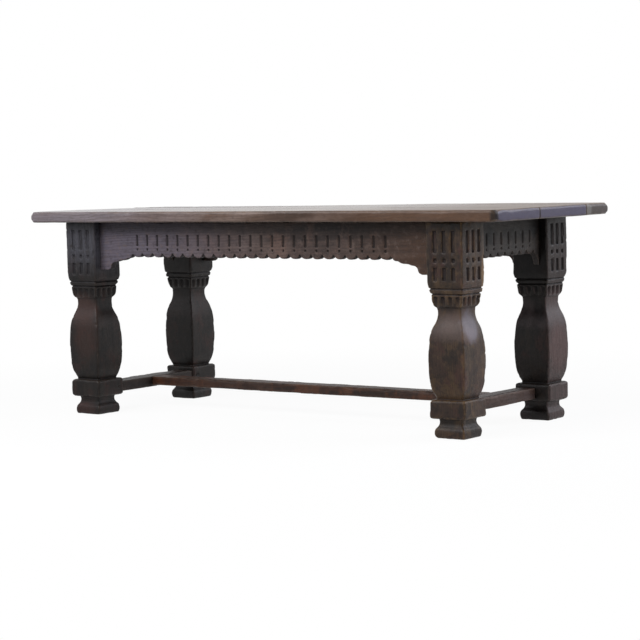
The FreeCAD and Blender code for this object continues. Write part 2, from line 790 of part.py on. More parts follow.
def top_slab():
    """The whole top with its corners and arrises rounded, before it is parted into boards."""
    body = new_body("top_slab")
    x, y, inset = "TopLength / 2", "TopWidth / 2", "TopCornerRound * (1 - sqrt(1 / 2))"
    steps = []
    for x_sign, y_sign in ((1, -1), (1, 1), (-1, 1), (-1, -1)):
        along = line(f"({x} - TopCornerRound) * {x_sign}", f"{y} * {y_sign}")
        across = line(f"{x} * {x_sign}", f"({y} - TopCornerRound) * {y_sign}")
        first, second = (along, across) if x_sign * y_sign < 0 else (across, along)
        steps.append(first)
        steps.append(arc(*second["to"], (f"({x} - {inset}) * {x_sign}", f"({y} - {inset}) * {y_sign}")))
    plan = plane_sketch(body, "top_plan", "XY_Plane", LEG_TOP, steps)
    pad = feature(body, "Pad", "top_pad", Profile=plan)
    bind(pad, Length="TopThickness")
    doc.recompute()
    rounds = (("top_lower_round", min, "TopLowerRound"), ("top_upper_round", max, "TopUpperRound"))
    for name, level, radius in rounds:
        base = body.Tip
        faces = base.Shape.Faces
        wanted = level(range(len(faces)), key=lambda number: faces[number].CenterOfMass.z)
        rounded = feature(body, "Fillet", name, Base=(base, [f"Face{wanted + 1}"]))
        bind(rounded, Radius=radius)
        body.Tip = rounded
        doc.recompute()
    return body


def top_boards(screws):
    """The three boards with their grooves for the tongues and their pilot holes."""
    slab = top_slab()
    reach = ("(-TopLength / 2 - CutOverrun)", "(TopLength / 2 + CutOverrun)")
    height = (f"({LEG_TOP} - CutOverrun)", "(TableHeight + CutOverrun)")
    joints = {"front": FRONT_JOINT_Y, "rear": REAR_JOINT_Y}
    grooves, tongues, eases = {}, {}, {}
    for side, y in joints.items():
        tongue = [
            span("0", "TopLength - 2 * TongueEndCover"),
            span(y, "TongueWidth"),
            span(TOP_MIDDLE_Z, "TongueThickness"),
        ]
        room = [(f"({low} - JointFit)", f"({high} + JointFit)") for low, high in tongue]
        tongues[side] = box(f"top_tongue_{side}", *tongue)
        grooves[side] = box(f"{side}_groove", *room)
        eases[side] = cylinder(f"{side}_joint_ease", (reach[0], y, "TableHeight"), "+X",
                               "BoardJointEase", "TopLength + 2 * CutOverrun")
    edges = {
        "front": ("(-TopWidth / 2 - CutOverrun)", FRONT_JOINT_Y),
        "middle": (FRONT_JOINT_Y, REAR_JOINT_Y),
        "rear": (REAR_JOINT_Y, "(TopWidth / 2 + CutOverrun)"),
    }
    sides = {"front": ["front"], "middle": ["front", "rear"], "rear": ["rear"]}
    boards = []
    for name, y in edges.items():
        plank = common(f"{name}_plank", slab, box(f"{name}_share", reach, y, height))
        tools = [grooves[side] for side in sides[name]] + [eases[side] for side in sides[name]]
        boards.append(cut(f"top_board_{name}", plank, tools + screws))
    return boards, list(tongues.values())


# The whole table

leg_front_right = leg()
leg_front_left = mirror("leg_front_left", leg_front_right, ACROSS_LENGTH)
leg_rear_right = mirror("leg_rear_right", leg_front_right, ACROSS_WIDTH)
leg_rear_left = mirror("leg_rear_left", leg_front_left, ACROSS_WIDTH)

apron_front = long_apron()
apron_rear = mirror("apron_rear", apron_front, ACROSS_WIDTH)
apron_right = end_apron()
apron_left = mirror("apron_left", apron_right, ACROSS_LENGTH)

stretcher_right = end_stretcher()
stretcher_left = mirror("stretcher_left", stretcher_right, ACROSS_LENGTH)
stretcher_long = long_stretcher()

leg_pegs = long_tenon_pegs("long_apron_peg", PEG_RADIUS) + end_tenon_pegs("end_apron_peg", PEG_RADIUS)
pegs_front_right = group("apron_pegs_front_right", leg_pegs)
pegs_front_left = mirror("apron_pegs_front_left", pegs_front_right, ACROSS_LENGTH)
pegs_rear_right = mirror("apron_pegs_rear_right", pegs_front_right, ACROSS_WIDTH)
pegs_rear_left = mirror("apron_pegs_rear_left", pegs_front_left, ACROSS_WIDTH)

front_peg = stretcher_peg("stretcher_peg", PEG_RADIUS)
rear_peg = mirror("stretcher_peg_rear", front_peg, ACROSS_WIDTH)
stretcher_pegs_right = group("stretcher_pegs_right", [front_peg, rear_peg])
stretcher_pegs_left = mirror("stretcher_pegs_left", stretcher_pegs_right, ACROSS_LENGTH)
right_pegs = long_pegs("long_peg", PEG_RADIUS)
left_pegs = [mirror("long_peg_left", peg, ACROSS_LENGTH) for peg in right_pegs]
stretcher_pegs_long = group("stretcher_pegs_long", right_pegs + left_pegs)

front_buttons, front_screws = long_buttons()
right_buttons, right_screws = end_buttons()
rear_screws = [mirror("long_screw_rear", item, ACROSS_WIDTH) for item in front_screws]
left_screws = [mirror("end_screw_left", item, ACROSS_LENGTH) for item in right_screws]
buttons_front = group("top_buttons_front", front_buttons)
buttons_rear = mirror("top_buttons_rear", buttons_front, ACROSS_WIDTH)
buttons_right = group("top_buttons_right", right_buttons)
buttons_left = mirror("top_buttons_left", buttons_right, ACROSS_LENGTH)
screws = front_screws + rear_screws + right_screws + left_screws
button_screws = group("button_screws", screws)

boards, tongues = top_boards(screws)

PIECES = boards + tongues + [
    leg_front_left, leg_front_right, leg_rear_left, leg_rear_right,
    apron_front, apron_rear, apron_left, apron_right,
    stretcher_left, stretcher_right, stretcher_long,
    pegs_front_left, pegs_front_right, pegs_rear_left, pegs_rear_right,
    stretcher_pegs_left, stretcher_pegs_right, stretcher_pegs_long,
    buttons_front, buttons_rear, buttons_left, buttons_right, button_screws,
]

doc.recompute()

for item in doc.Objects:
    if "Invalid" in item.State or "Error" in item.State:
        raise RuntimeError(f"{item.Label} failed: {item.State}")
for piece in PIECES:
    if piece.Shape.isNull() or not piece.Shape.isValid() or not piece.Shape.Solids:
        raise RuntimeError(f"{piece.Label} has no sound shape")

os.makedirs("parts", exist_ok=True)
for piece in PIECES:
    piece.Shape.exportStep(f"parts/{piece.Label}.step")
    print(piece.Label, len(piece.Shape.Solids), "solids", round(piece.Shape.Volume), "mm3")
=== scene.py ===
import json
import math

import bmesh
import bpy
import numpy as np
from mathutils import Matrix, Vector


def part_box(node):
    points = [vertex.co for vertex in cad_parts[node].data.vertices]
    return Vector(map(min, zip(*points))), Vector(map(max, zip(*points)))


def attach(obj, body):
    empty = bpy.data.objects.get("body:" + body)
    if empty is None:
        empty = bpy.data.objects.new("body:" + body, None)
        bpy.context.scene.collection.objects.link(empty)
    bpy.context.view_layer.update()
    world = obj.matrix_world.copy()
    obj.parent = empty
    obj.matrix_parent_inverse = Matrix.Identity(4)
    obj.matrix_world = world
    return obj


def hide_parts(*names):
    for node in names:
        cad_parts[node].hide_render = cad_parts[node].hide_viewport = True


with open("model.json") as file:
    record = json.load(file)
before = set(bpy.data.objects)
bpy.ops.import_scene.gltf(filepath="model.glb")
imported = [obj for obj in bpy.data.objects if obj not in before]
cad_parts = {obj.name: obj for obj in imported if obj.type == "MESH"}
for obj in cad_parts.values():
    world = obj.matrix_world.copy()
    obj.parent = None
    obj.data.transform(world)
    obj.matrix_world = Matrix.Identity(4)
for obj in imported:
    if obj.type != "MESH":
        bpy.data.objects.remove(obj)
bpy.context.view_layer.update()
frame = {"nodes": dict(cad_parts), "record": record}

BODY = "root"
SLOTS = {part["node"]: part["material_slot"] for part in frame["record"]["subparts"]}


# Noise that is the same on each run

HASH_PRIMES = (73856093, 19349663, 83492791)
HASH_SEED_FACTOR = 26544357
HASH_STIR = 1274126177
HASH_TOP = 0xFFFFFF


def lattice(points, seed):
    """Smooth noise from 0 to 1, with one random value at each whole-numbered point of space."""
    cell = np.floor(points).astype(np.int64)
    part = points - cell
    part = part * part * (3 - 2 * part)
    total = np.zeros(len(points))
    for corner in np.ndindex(2, 2, 2):
        x, y, z = ((cell + np.array(corner)) * HASH_PRIMES).T
        key = x ^ y ^ z ^ (seed * HASH_SEED_FACTOR)
        key = (key ^ (key >> 13)) * HASH_STIR
        key = (key ^ (key >> 16)) & HASH_TOP
        total += np.prod(np.where(corner, part, 1 - part), axis=1) * key / HASH_TOP
    return total


def ease(values, low, high):
    """0 below low, 1 above high and a smooth rise between them."""
    share = np.clip((values - low) / (high - low), 0, 1)
    return share * share * (3 - 2 * share)


# Meshes

MERGE_DISTANCE = 1e-6


def places_of(mesh):
    places = np.empty(len(mesh.vertices) * 3)
    mesh.vertices.foreach_get("co", places)
    return places.reshape(-1, 3)


def normals_of(mesh):
    normals = np.empty(len(mesh.vertices) * 3)
    mesh.vertex_normals.foreach_get("vector", normals)
    return normals.reshape(-1, 3)


def edges_of(mesh):
    edges = np.empty(len(mesh.edges) * 2, np.int64)
    mesh.edges.foreach_get("vertices", edges)
    return edges.reshape(-1, 2)


def move(mesh, places):
    mesh.vertices.foreach_set("co", places.ravel())
    mesh.update()


def store(mesh, name, values):
    attribute = mesh.attributes.new(name, "FLOAT", "POINT")
    attribute.data.foreach_set("value", np.asarray(values, np.float32))


def relax(places, edges, rounds):
    """Draw each vertex half way to the middle of its neighbours, a number of times."""
    first, second = edges.T
    count = np.bincount(edges.ravel(), minlength=len(places))
    for _ in range(rounds):
        middle = np.empty_like(places)
        for axis in range(3):
            total = np.bincount(first, places[second, axis], len(places))
            total += np.bincount(second, places[first, axis], len(places))
            middle[:, axis] = total / count
        places = (places + middle) / 2
    return places


def with_modifier(mesh, kind, **settings):
    """The mesh with one modifier applied."""
    carrier = bpy.data.objects.new("carrier", mesh)
    bpy.context.scene.collection.objects.link(carrier)
    modifier = carrier.modifiers.new(kind, kind)
    for name, setting in settings.items():
        setattr(modifier, name, setting)
    bpy.context.view_layer.update()
    shown = carrier.evaluated_get(bpy.context.evaluated_depsgraph_get())
    made = bpy.data.meshes.new_from_object(shown)
    bpy.data.objects.remove(carrier)
    return made


def closed_copy(node):
    mesh = frame["nodes"][node].data.copy()
    mesh.materials.clear()
    work = bmesh.new()
    work.from_mesh(mesh)
    bmesh.ops.remove_doubles(work, verts=work.verts, dist=MERGE_DISTANCE)
    work.to_mesh(mesh)
    work.free()
    return mesh


# Worn pieces: a fine mesh over a CAD node, with the marks of tools and age, kept inside the node's box.
# A form's keys, with lengths in metres:
#   voxel, kept_share      size of the fine mesh, and the share of its faces that stays at the end
#   swell                  growth all over, before the wear takes its depth away again
#   sway, sway_size        depth and spacing of broad unevenness
#   ripple, ripple_size    depth and spacing of tool marks along the grain
#   chip, nick, chip_size  depths of large and small bites out of the edges, and the spacing of the large ones
#   walls                  number of the axis that a carved face looks along: its side walls count as hollow and are darkened, as painted shade
#   ledges                 heights between which faces that look up count as hollow and are darkened, as painted shade
#   eased                  heights between which edges are rounder
#   rounded                ranges of X and Y, to either side, over which plan corners grow rounder
#   notch                  where the valleys between lobes begin, are full and end, and how much deeper they get
#   sag                    how far the top sinks at its rear left corner
#   crack                  X, half width, depth and both ends in Y of a split in an upper face

GRAIN_STRETCH = {"X": np.array((0.04, 1, 1)), "Y": np.array((1, 0.04, 1)), "Z": np.array((1, 1, 0.04))}
SMOOTH_ROUNDS = 2
EDGE_ROUNDS = 16
EASE_ROUNDS = 44
# How far a vertex stands from its eased place, in voxels, to count wholly as an edge, an arris and so on
EDGE_RISE = 0.5
ARRIS_RISE = 1.45
HOLLOW_RISE = 0.6
VALLEY_RISE = 1.3
# Shares of that which count for nothing yet
ARRIS_START = 0.15
VALLEY_START = 0.1
# How far a face looks up, or away from the carving's axis, to count not at all and wholly
WALL_TURN = (0.25, 0.8)
LEDGE_TURN = (0.2, 0.5)
CRACK_TURN = (0.2, 0.8)
SAG_TURN = (0.3, 0.8)
# Noise from which chips and nicks begin, and at which they are full
CHIP_NOISE = (0.45, 0.8)
NICK_NOISE = (0.6, 0.85)
NICK_SIZE_SHARE = 0.35
# Wear that every arris has, and what chips and nicks add
WEAR_SHARE, WEAR_BY_CHIP, WEAR_BY_NICK = 0.5, 0.4, 0.4
EASED_SHARE, EASED_BY_CHIP = 0.25, 0.5
EASED_FADE_BELOW, EASED_FADE_ABOVE = 0.01, 0.02
SAG_ACROSS = (-0.25, 0.39)
SAG_ALONG = (-0.6, 0.6)
# Width, waves per metre and seed of each wander of the crack
CRACK_WANDERS = ((0.008, 14, 90), (0.003, 60, 91))
CRACK_CORE = 0.4
CRACK_FADE = 0.06
CRACK_DIRT = (0.001, 0.003)


def crack_depth(places, normals, crack):
    """Depth of a wandering crack along Y in an upper face."""
    middle, width, depth, low, high = crack
    wander = sum(wide * (lattice(places * (0, waves, 0), seed) - 0.5) for wide, waves, seed in CRACK_WANDERS)
    near = 1 - ease(np.abs(places[:, 0] - middle - wander), width * CRACK_CORE, width)
    along = ease(places[:, 1], low, low + CRACK_FADE) * (1 - ease(places[:, 1], high - CRACK_FADE, high))
    return depth * near * along * ease(normals[:, 2], *CRACK_TURN)


def sag_depth(places, normals, sag):
    """Depth by which an old top has sunk towards its rear left corner."""
    across = ease(places[:, 1], *SAG_ACROSS)
    along = 1 - ease(places[:, 0], *SAG_ALONG)
    return sag * across * along * ease(normals[:, 2], *SAG_TURN)


def notch_depth(places, wall, notch):
    """Depth by which the walls of the valleys between an apron's lobes are cut back."""
    low, high, ceiling, deeper = notch
    return deeper * wall * ease(places[:, 2], low, high) * (places[:, 2] < ceiling)


def rounding(places, edge, chips, form):
    """Share of the way to its rounded form that each vertex goes."""
    if "rounded" in form:
        along, across = form["rounded"]
        return ease(np.abs(places[:, 0]), *along) * ease(np.abs(places[:, 1]), *across) * edge
    if "eased" in form:
        low, high = form["eased"]
        inside = ease(places[:, 2], low - EASED_FADE_BELOW, low)
        inside = inside * (1 - ease(places[:, 2], high, high + EASED_FADE_ABOVE))
        return inside * (edge * (EASED_SHARE + EASED_BY_CHIP * chips))
    return np.zeros(len(places))


def find_marks(places, normals, edges, voxel, form):
    """How far each vertex is on an edge, an arris, in a hollow and on a carved wall, and the rounded form; the
    hollow share takes dirt and painted shade.
    """
    soft = relax(places, edges, EDGE_ROUNDS)
    bulge = ((places - soft) * normals).sum(1) / voxel
    edge = np.clip(bulge / EDGE_RISE, 0, 1)
    round_form = relax(soft, edges, EASE_ROUNDS)
    stand = ((places - round_form) * normals).sum(1) / voxel
    arris = np.clip(stand / ARRIS_RISE - ARRIS_START, 0, 1) * edge
    hollow_and_shade = np.clip(-bulge / HOLLOW_RISE, 0, 1)
    # Broad valleys count as hollow too: dirt, and painted shade in the valleys
    hollow_and_shade = np.maximum(hollow_and_shade, np.clip(-stand / VALLEY_RISE - VALLEY_START, 0, 1))
    wall = np.zeros(len(places))
    if "walls" in form:
        wall = ease(1 - np.abs(normals[:, form["walls"]]), *WALL_TURN)
        # Carved side walls are darkened as painted shade
        hollow_and_shade = np.maximum(hollow_and_shade, wall)
    if "ledges" in form:
        low, high = form["ledges"]
        carved = (places[:, 2] > low) & (places[:, 2] < high)
        # Ledges that look up are darkened as painted shade
        hollow_and_shade = np.maximum(hollow_and_shade, ease(normals[:, 2], *LEDGE_TURN) * carved)
    return edge, arris, hollow_and_shade, wall, round_form


def worn_piece(node, along, seed, form, material):
    """Add a piece that stands for a CAD node, with the marks of hand tools and of age."""
    coarse = 1.0
    voxel = form["voxel"] * coarse
    mesh = with_modifier(closed_copy(node), "REMESH", mode="VOXEL", voxel_size=voxel)
    edges = edges_of(mesh)
    places = relax(places_of(mesh), edges, SMOOTH_ROUNDS)
    move(mesh, places)
    normals = normals_of(mesh)
    edge, arris, hollow_and_shade, wall, round_form = find_marks(places, normals, edges, voxel, form)

    sway = lattice(places / form["sway_size"], seed)
    chips = ease(lattice(places / form["chip_size"], seed + 1), *CHIP_NOISE)
    nicks = ease(lattice(places / (form["chip_size"] * NICK_SIZE_SHARE), seed + 2), *NICK_NOISE)
    ripple = lattice(places * GRAIN_STRETCH[along] / form["ripple_size"], seed + 3)
    depth = form["sway"] * sway + form["ripple"] * ripple - form.get("swell", 0.0)
    depth += edge * (form["chip"] * chips + form["nick"] * nicks)
    if "sag" in form:
        depth += sag_depth(places, normals, form["sag"])
    if "notch" in form:
        depth += notch_depth(places, wall, form["notch"])
    if "crack" in form:
        split = crack_depth(places, normals, form["crack"])
        depth += split
        hollow_and_shade = np.maximum(hollow_and_shade, ease(split, *CRACK_DIRT))
    places = places + (round_form - places) * rounding(places, edge, chips, form)[:, None]
    places = np.clip(places - normals * depth[:, None], *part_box(node))
    move(mesh, places)
    store(mesh, "wear", np.clip(arris * (WEAR_SHARE + WEAR_BY_CHIP * chips + WEAR_BY_NICK * nicks), 0, 1))
    # The hollow share is darkened in the material: dirt, and painted shade on carved walls, ledges and valleys
    store(mesh, "hollow_and_shade", hollow_and_shade)

    thin = with_modifier(mesh, "DECIMATE", ratio=min(1.0, form["kept_share"] * coarse))
    move(thin, np.clip(places_of(thin), *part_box(node)))
    thin.polygons.foreach_set("use_smooth", np.ones(len(thin.polygons), bool))
    thin.materials.append(material)
    bpy.data.meshes.remove(mesh)

    thin.name = f"worn_{node}"
    piece = bpy.data.objects.new(f"worn_{node}", thin)
    bpy.context.scene.collection.objects.link(piece)
    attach(piece, BODY)
    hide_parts(node)


# Node trees

def srgb(red, green, blue):
    """A colour as a screen shows it, from 0 to 255, in the linear values that shaders use."""
    linear = [((share / 255 + 0.055) / 1.055) ** 2.4 if share > 10 else share / 255 / 12.92
              for share in (red, green, blue)]
    return (*linear, 1.0)


class Tree:
    """A node tree with short calls for the few kinds of node used here."""

    def __init__(self, owner):
        owner.use_nodes = True
        self.tree = owner.node_tree
        self.tree.nodes.clear()

    def add(self, kind, inputs=None, **settings):
        made = self.tree.nodes.new(kind)
        for name, setting in settings.items():
            setattr(made, name, setting)
        for name, entry in (inputs or {}).items():
            self.fill(made.inputs[name], entry)
        return made

    def fill(self, socket, entry):
        """Link a socket to another one, or set its own value."""
        if isinstance(entry, bpy.types.NodeSocket):
            self.tree.links.new(entry, socket)
        else:
            socket.default_value = entry

    def math(self, operation, first, second=0.0, clamp=False):
        return self.add("ShaderNodeMath", {0: first, 1: second}, operation=operation,
                        use_clamp=clamp).outputs[0]

    def plus(self, first, second, share):
        """The first value and a share of the second."""
        return self.math("ADD", first, self.math("MULTIPLY", second, share))

    def vector(self, operation, first, second=(0, 0, 0)):
        return self.add("ShaderNodeVectorMath", {0: first, 1: second}, operation=operation).outputs[0]

    def length(self, vector):
        return self.add("ShaderNodeVectorMath", {0: vector}, operation="LENGTH").outputs["Value"]

    def noise(self, vector, scale, detail=2.0, roughness=0.5):
        return self.add("ShaderNodeTexNoise", {
            "Vector": self.vector("MULTIPLY", vector, scale), "Scale": 1.0, "Detail": detail,
            "Roughness": roughness}).outputs["Fac"]

    def rise(self, value, low, high, top=1.0):
        """0 below low, top above high and a smooth rise between them."""
        return self.add("ShaderNodeMapRange", {"Value": value, "From Min": low, "From Max": high,
                                               "To Min": 0.0, "To Max": top},
                        interpolation_type="SMOOTHSTEP").outputs["Result"]

    def mix(self, share, first, second, blend="MIX"):
        made = self.add("ShaderNodeMix", {"Factor": share}, data_type="RGBA", blend_type=blend)
        for name, entry in (("A", first), ("B", second)):
            self.fill(next(s for s in made.inputs if s.name == name and s.type == "RGBA"), entry)
        return next(s for s in made.outputs if s.type == "RGBA")

    def attribute(self, name):
        return self.add("ShaderNodeAttribute", attribute_name=name).outputs["Fac"]

    def place(self):
        return self.add("ShaderNodeTexCoord").outputs["Object"]

    def reading(self, axis):
        """The place along an axis or, for "facing X" and the like, how far the surface looks along it."""
        facing = axis.startswith("facing")
        source = self.add("ShaderNodeNewGeometry").outputs["Normal"] if facing else self.place()
        return self.add("ShaderNodeSeparateXYZ", {"Vector": source}).outputs[axis[-1]]

    def surface(self, shader, output="ShaderNodeOutputMaterial"):
        self.add(output, {"Surface": shader.outputs[0]})


# Old oak
# A look's keys:
#   deep, body, tint           colours of dark streaks, of the wood between them and of stains
#   worn, dirt_and_shade       colours of rubbed arrises, and of hollows and pores: dirt, and painted shade in hollows
#   patches                    colours of broad patches
#   drifts                     axis, start, end and the colour that the wood drifts to: here painted light
#   shades                     axis, start, end and the factor that colours come to be multiplied by: painted shade below 1, painted light above 1
#   dulls                      axis, start, end and the roughness that comes to be added
#   bands                      lower and upper height of a paler band on the leg shoulders, and its colour: painted sheen of light from above
#   spots                      middle, radii, share and colour of single stains, and of a painted highlight and painted shade
#   pith, tilt, ring           place of the trunk's middle, lean of the grain in radians and width of a ring
#   streaks                    noise at which deep ends, and at which body begins
#   lines, speckle             shares of fine dark lines and of mottling
#   wear, dirt_and_shade_share shares of the worn colour and of the colour of dirt and painted shade where they
#   are full
#   roughness, shine, bump     of the surface

PLAIN_LOOK = {
    "patches": (), "drifts": (), "shades": (), "dulls": (), "bands": (), "spots": (),
    "pith": (0.0, 0.03, 0.09), "tilt": 0.045, "ring": 0.0065, "streaks": (0.36, 0.64), "lines": 0.4,
    "speckle": 0.5, "wear": 0.7, "dirt_and_shade_share": 0.8, "bump": 0.45,
}
GRAIN_TURNS = {
    "X": lambda tilt: (0.0, tilt, 0.0),
    "Y": lambda tilt: (tilt, 0.0, -math.pi / 2),
    "Z": lambda tilt: (0.0, math.pi / 2 + tilt, 0.0),
}
SEED_SHIFT = 0.37
PATCH_SEED_SHIFT = 0.61
PATCH_STEP = (1.7, 0.9)
# Waves per metre along and across the grain, then detail and roughness of each noise
WANDER_NOISE = ((1.6, 9.0, 9.0), 2.0)
STREAK_NOISE = ((1.3, 26.0, 26.0), 4.0, 0.6)
LINE_NOISE = ((9.0, 170.0, 170.0), 3.0, 0.6)
PORE_NOISE = ((55.0, 1100.0, 1100.0), 1.0)
STAIN_NOISE = ((4.0, 9.0, 9.0), 3.0, 0.55)
MOTTLE_NOISE = ((46.0, 46.0, 46.0), 4.0, 0.62)
PATCH_NOISE = ((14.0, 14.0, 9.0), 4.0, 0.65)
RING_WANDER = 0.05
RING_SHARE = 0.25
PORE_SHARE = 0.4
# Where each mark starts and is full, and then its share where that is fixed
LATE_WOOD = (0.55, 0.95)
EARLY_WOOD = (0.2, 0.0)
PORE_RISE = (0.56, 0.68)
STAIN_RISE = (0.5, 0.64, 0.7)
PATCH_RISE = (0.5, 0.62, 0.75)
LINE_RISE = (0.45, 0.7)
PALE_MOTTLE_RISE = (0.52, 0.7)
DARK_MOTTLE_RISE = (0.46, 0.3)
BAND_STAIN_RISE = (0.35, 0.6, 0.75)
SPOT_RISE = (1.6, 0.9)
RUB_RISE = (0.3, 0.6)
DIRT_AND_SHADE_RISE = (0.12, 0.8)
# How ragged the borders of drifts, shades, bands and spots are
DRIFT_RAGGED = 0.5
DRIFT_SHARE = 0.85
SHADE_RAGGED = 0.6
BAND_RAGGED = 0.03
BAND_FADE_BELOW, BAND_FADE_ABOVE = 0.025, 0.03
SPOT_RAGGED = 0.7
# What each mark adds to the roughness and to the height of the bump
LINE_ROUGHNESS, DIRT_AND_SHADE_ROUGHNESS, WEAR_ROUGHNESS = 0.16, 0.2, -0.06
LINE_HEIGHT, PORE_HEIGHT, RING_HEIGHT, MOTTLE_HEIGHT = 0.8, -0.7, -0.3, 0.5
BUMP_DISTANCE = 0.0008


def oak_marks(tree, spot, along, seed, look):
    """The rings, streaks, lines, pores, stains and mottling of one piece of oak."""
    shift = Vector(look["pith"]) + Vector((seed * SEED_SHIFT, 0, 0))
    grain = tree.add("ShaderNodeMapping", {
        "Vector": spot, "Location": shift, "Rotation": GRAIN_TURNS[along](look["tilt"])}).outputs["Vector"]
    radius = tree.length(tree.vector("MULTIPLY", grain, (0.0, 1.0, 1.0)))
    bent = tree.plus(radius, tree.noise(grain, *WANDER_NOISE), RING_WANDER)
    phase = tree.math("FRACT", tree.math("MULTIPLY", bent, 1.0 / look["ring"]))
    return {
        "ring": tree.math("ADD", tree.rise(phase, *LATE_WOOD), tree.rise(phase, *EARLY_WOOD)),
        "streak": tree.noise(grain, *STREAK_NOISE),
        "line": tree.noise(grain, *LINE_NOISE),
        "pore": tree.rise(tree.noise(grain, *PORE_NOISE), *PORE_RISE),
        "stain": tree.noise(grain, *STAIN_NOISE),
        "mottle": tree.noise(spot, *MOTTLE_NOISE),
    }


def oak_colour(tree, spot, seed, look, marks):
    """The colour of one piece of oak, with its painted light and shade, without worn arrises and the dirt and
    painted shade of hollows.
    """
    stain, mottle = marks["stain"], marks["mottle"]
    even_stain = tree.math("SUBTRACT", stain, 0.5)
    even_mottle = tree.math("SUBTRACT", mottle, 0.5)
    colour = tree.mix(tree.rise(marks["streak"], *look["streaks"]), look["deep"], look["body"])
    colour = tree.mix(tree.rise(stain, *STAIN_RISE), colour, look["tint"])
    for number, patched in enumerate(look["patches"]):
        step_x, step_y = PATCH_STEP
        moved = tree.vector("ADD", spot, (seed * PATCH_SEED_SHIFT + number * step_x, number * step_y, 0.0))
        colour = tree.mix(tree.rise(tree.noise(moved, *PATCH_NOISE), *PATCH_RISE), colour, patched)
    # Painted light: the colour drifts along an axis, or on faces that look along it
    for axis, low, high, drifted in look["drifts"]:
        ragged = (high - low) * DRIFT_RAGGED
        rough = tree.plus(tree.reading(axis), stain, ragged)
        share = tree.rise(rough, low + ragged / 2, high + ragged / 2, DRIFT_SHARE)
        colour = tree.mix(share, colour, drifted)
    colour = tree.mix(tree.math("MULTIPLY", marks["ring"], RING_SHARE), colour, look["deep"])
    colour = tree.mix(tree.rise(marks["line"], *LINE_RISE, look["lines"]), colour, look["deep"])
    colour = tree.mix(tree.rise(mottle, *PALE_MOTTLE_RISE, look["speckle"]), colour, look["tint"])
    colour = tree.mix(tree.rise(mottle, *DARK_MOTTLE_RISE, look["speckle"]), colour, look["deep"])
    # Painted sheen of light from above on the shoulders of the legs
    for low, high, sheen_colour in look["bands"]:
        height = tree.plus(tree.reading("Z"), even_mottle, BAND_RAGGED)
        inside = tree.math("MULTIPLY", tree.rise(height, low, low + BAND_FADE_BELOW),
                           tree.rise(height, high, high - BAND_FADE_ABOVE))
        share = tree.math("MULTIPLY", inside, tree.rise(stain, *BAND_STAIN_RISE))
        colour = tree.mix(share, colour, sheen_colour)
    colour = tree.mix(tree.math("MULTIPLY", marks["pore"], PORE_SHARE), colour, look["dirt_and_shade"])
    # Spots are stains, and also a painted highlight on a neck and painted shade at a corner of the top
    for middle, radii, share, spot_colour in look["spots"]:
        away = tree.length(tree.vector("DIVIDE", tree.vector("SUBTRACT", spot, middle), radii))
        ragged = tree.plus(away, mottle, SPOT_RAGGED)
        colour = tree.mix(tree.rise(ragged, *SPOT_RISE, share), colour, spot_colour)
    # Painted shade, and painted light where the factor is above 1, multiplied into the colour
    for axis, low, high, shade in look["shades"]:
        rough = tree.plus(tree.reading(axis), even_stain, (high - low) * SHADE_RAGGED)
        colour = tree.mix(tree.rise(rough, low, high), colour, (shade, shade, shade, 1.0), "MULTIPLY")
    return colour


def oak(name, along, seed, look):
    """Old dark oak: growth rings about a pith, streaks, pores, stains, painted light and shade, worn arrises,
    and dirt and painted shade in hollows.
    """
    look = {**PLAIN_LOOK, **look}
    material = bpy.data.materials.new(name)
    tree = Tree(material)
    spot = tree.place()
    marks = oak_marks(tree, spot, along, seed, look)
    colour = oak_colour(tree, spot, seed, look, marks)
    wear = tree.attribute("wear")
    rubbed = tree.math("MULTIPLY", wear, tree.rise(marks["mottle"], *RUB_RISE), True)
    colour = tree.mix(tree.math("MULTIPLY", rubbed, look["wear"]), colour, look["worn"])
    # Hollows take the dark colour: dirt, and painted shade on carved walls, ledges and valleys
    dirt_and_shade = tree.rise(tree.attribute("hollow_and_shade"), *DIRT_AND_SHADE_RISE, look["dirt_and_shade_share"])
    colour = tree.mix(dirt_and_shade, colour, look["dirt_and_shade"])

    roughness = tree.plus(look["roughness"], marks["line"], LINE_ROUGHNESS)
    roughness = tree.plus(roughness, dirt_and_shade, DIRT_AND_SHADE_ROUGHNESS)
    roughness = tree.plus(roughness, wear, WEAR_ROUGHNESS)
    for axis, low, high, rougher in look["dulls"]:
        roughness = tree.math("ADD", roughness, tree.rise(tree.reading(axis), low, high, rougher))
    height = tree.math("MULTIPLY", marks["line"], LINE_HEIGHT)
    height = tree.plus(height, marks["pore"], PORE_HEIGHT)
    height = tree.plus(height, marks["ring"], RING_HEIGHT)
    height = tree.plus(height, marks["mottle"], MOTTLE_HEIGHT)
    bump = tree.add("ShaderNodeBump", {"Height": height, "Strength": look["bump"], "Distance": BUMP_DISTANCE})
    tree.surface(tree.add("ShaderNodeBsdfPrincipled", {
        "Base Color": colour, "Roughness": roughness, "Normal": bump.outputs["Normal"],
        "Specular IOR Level": look["shine"]}))
    return material


# Steel

STEEL_GREY = srgb(120, 116, 112)
RUST_BROWN = srgb(78, 52, 38)
RUST_NOISE = ((420.0, 420.0, 420.0), 4.0, 0.6)
RUST_RISE = (0.5, 0.68)
STEEL_ROUGHNESS, RUST_ROUGHNESS = 0.38, 0.4
STEEL_METALLIC = 0.9


def steel(name):
    """Dull old steel with a little rust."""
    material = bpy.data.materials.new(name)
    tree = Tree(material)
    rust = tree.rise(tree.noise(tree.place(), *RUST_NOISE), *RUST_RISE)
    tree.surface(tree.add("ShaderNodeBsdfPrincipled", {
        "Base Color": tree.mix(rust, STEEL_GREY, RUST_BROWN),
        "Roughness": tree.plus(STEEL_ROUGHNESS, rust, RUST_ROUGHNESS), "Metallic": STEEL_METALLIC}))
    return material


# Looks

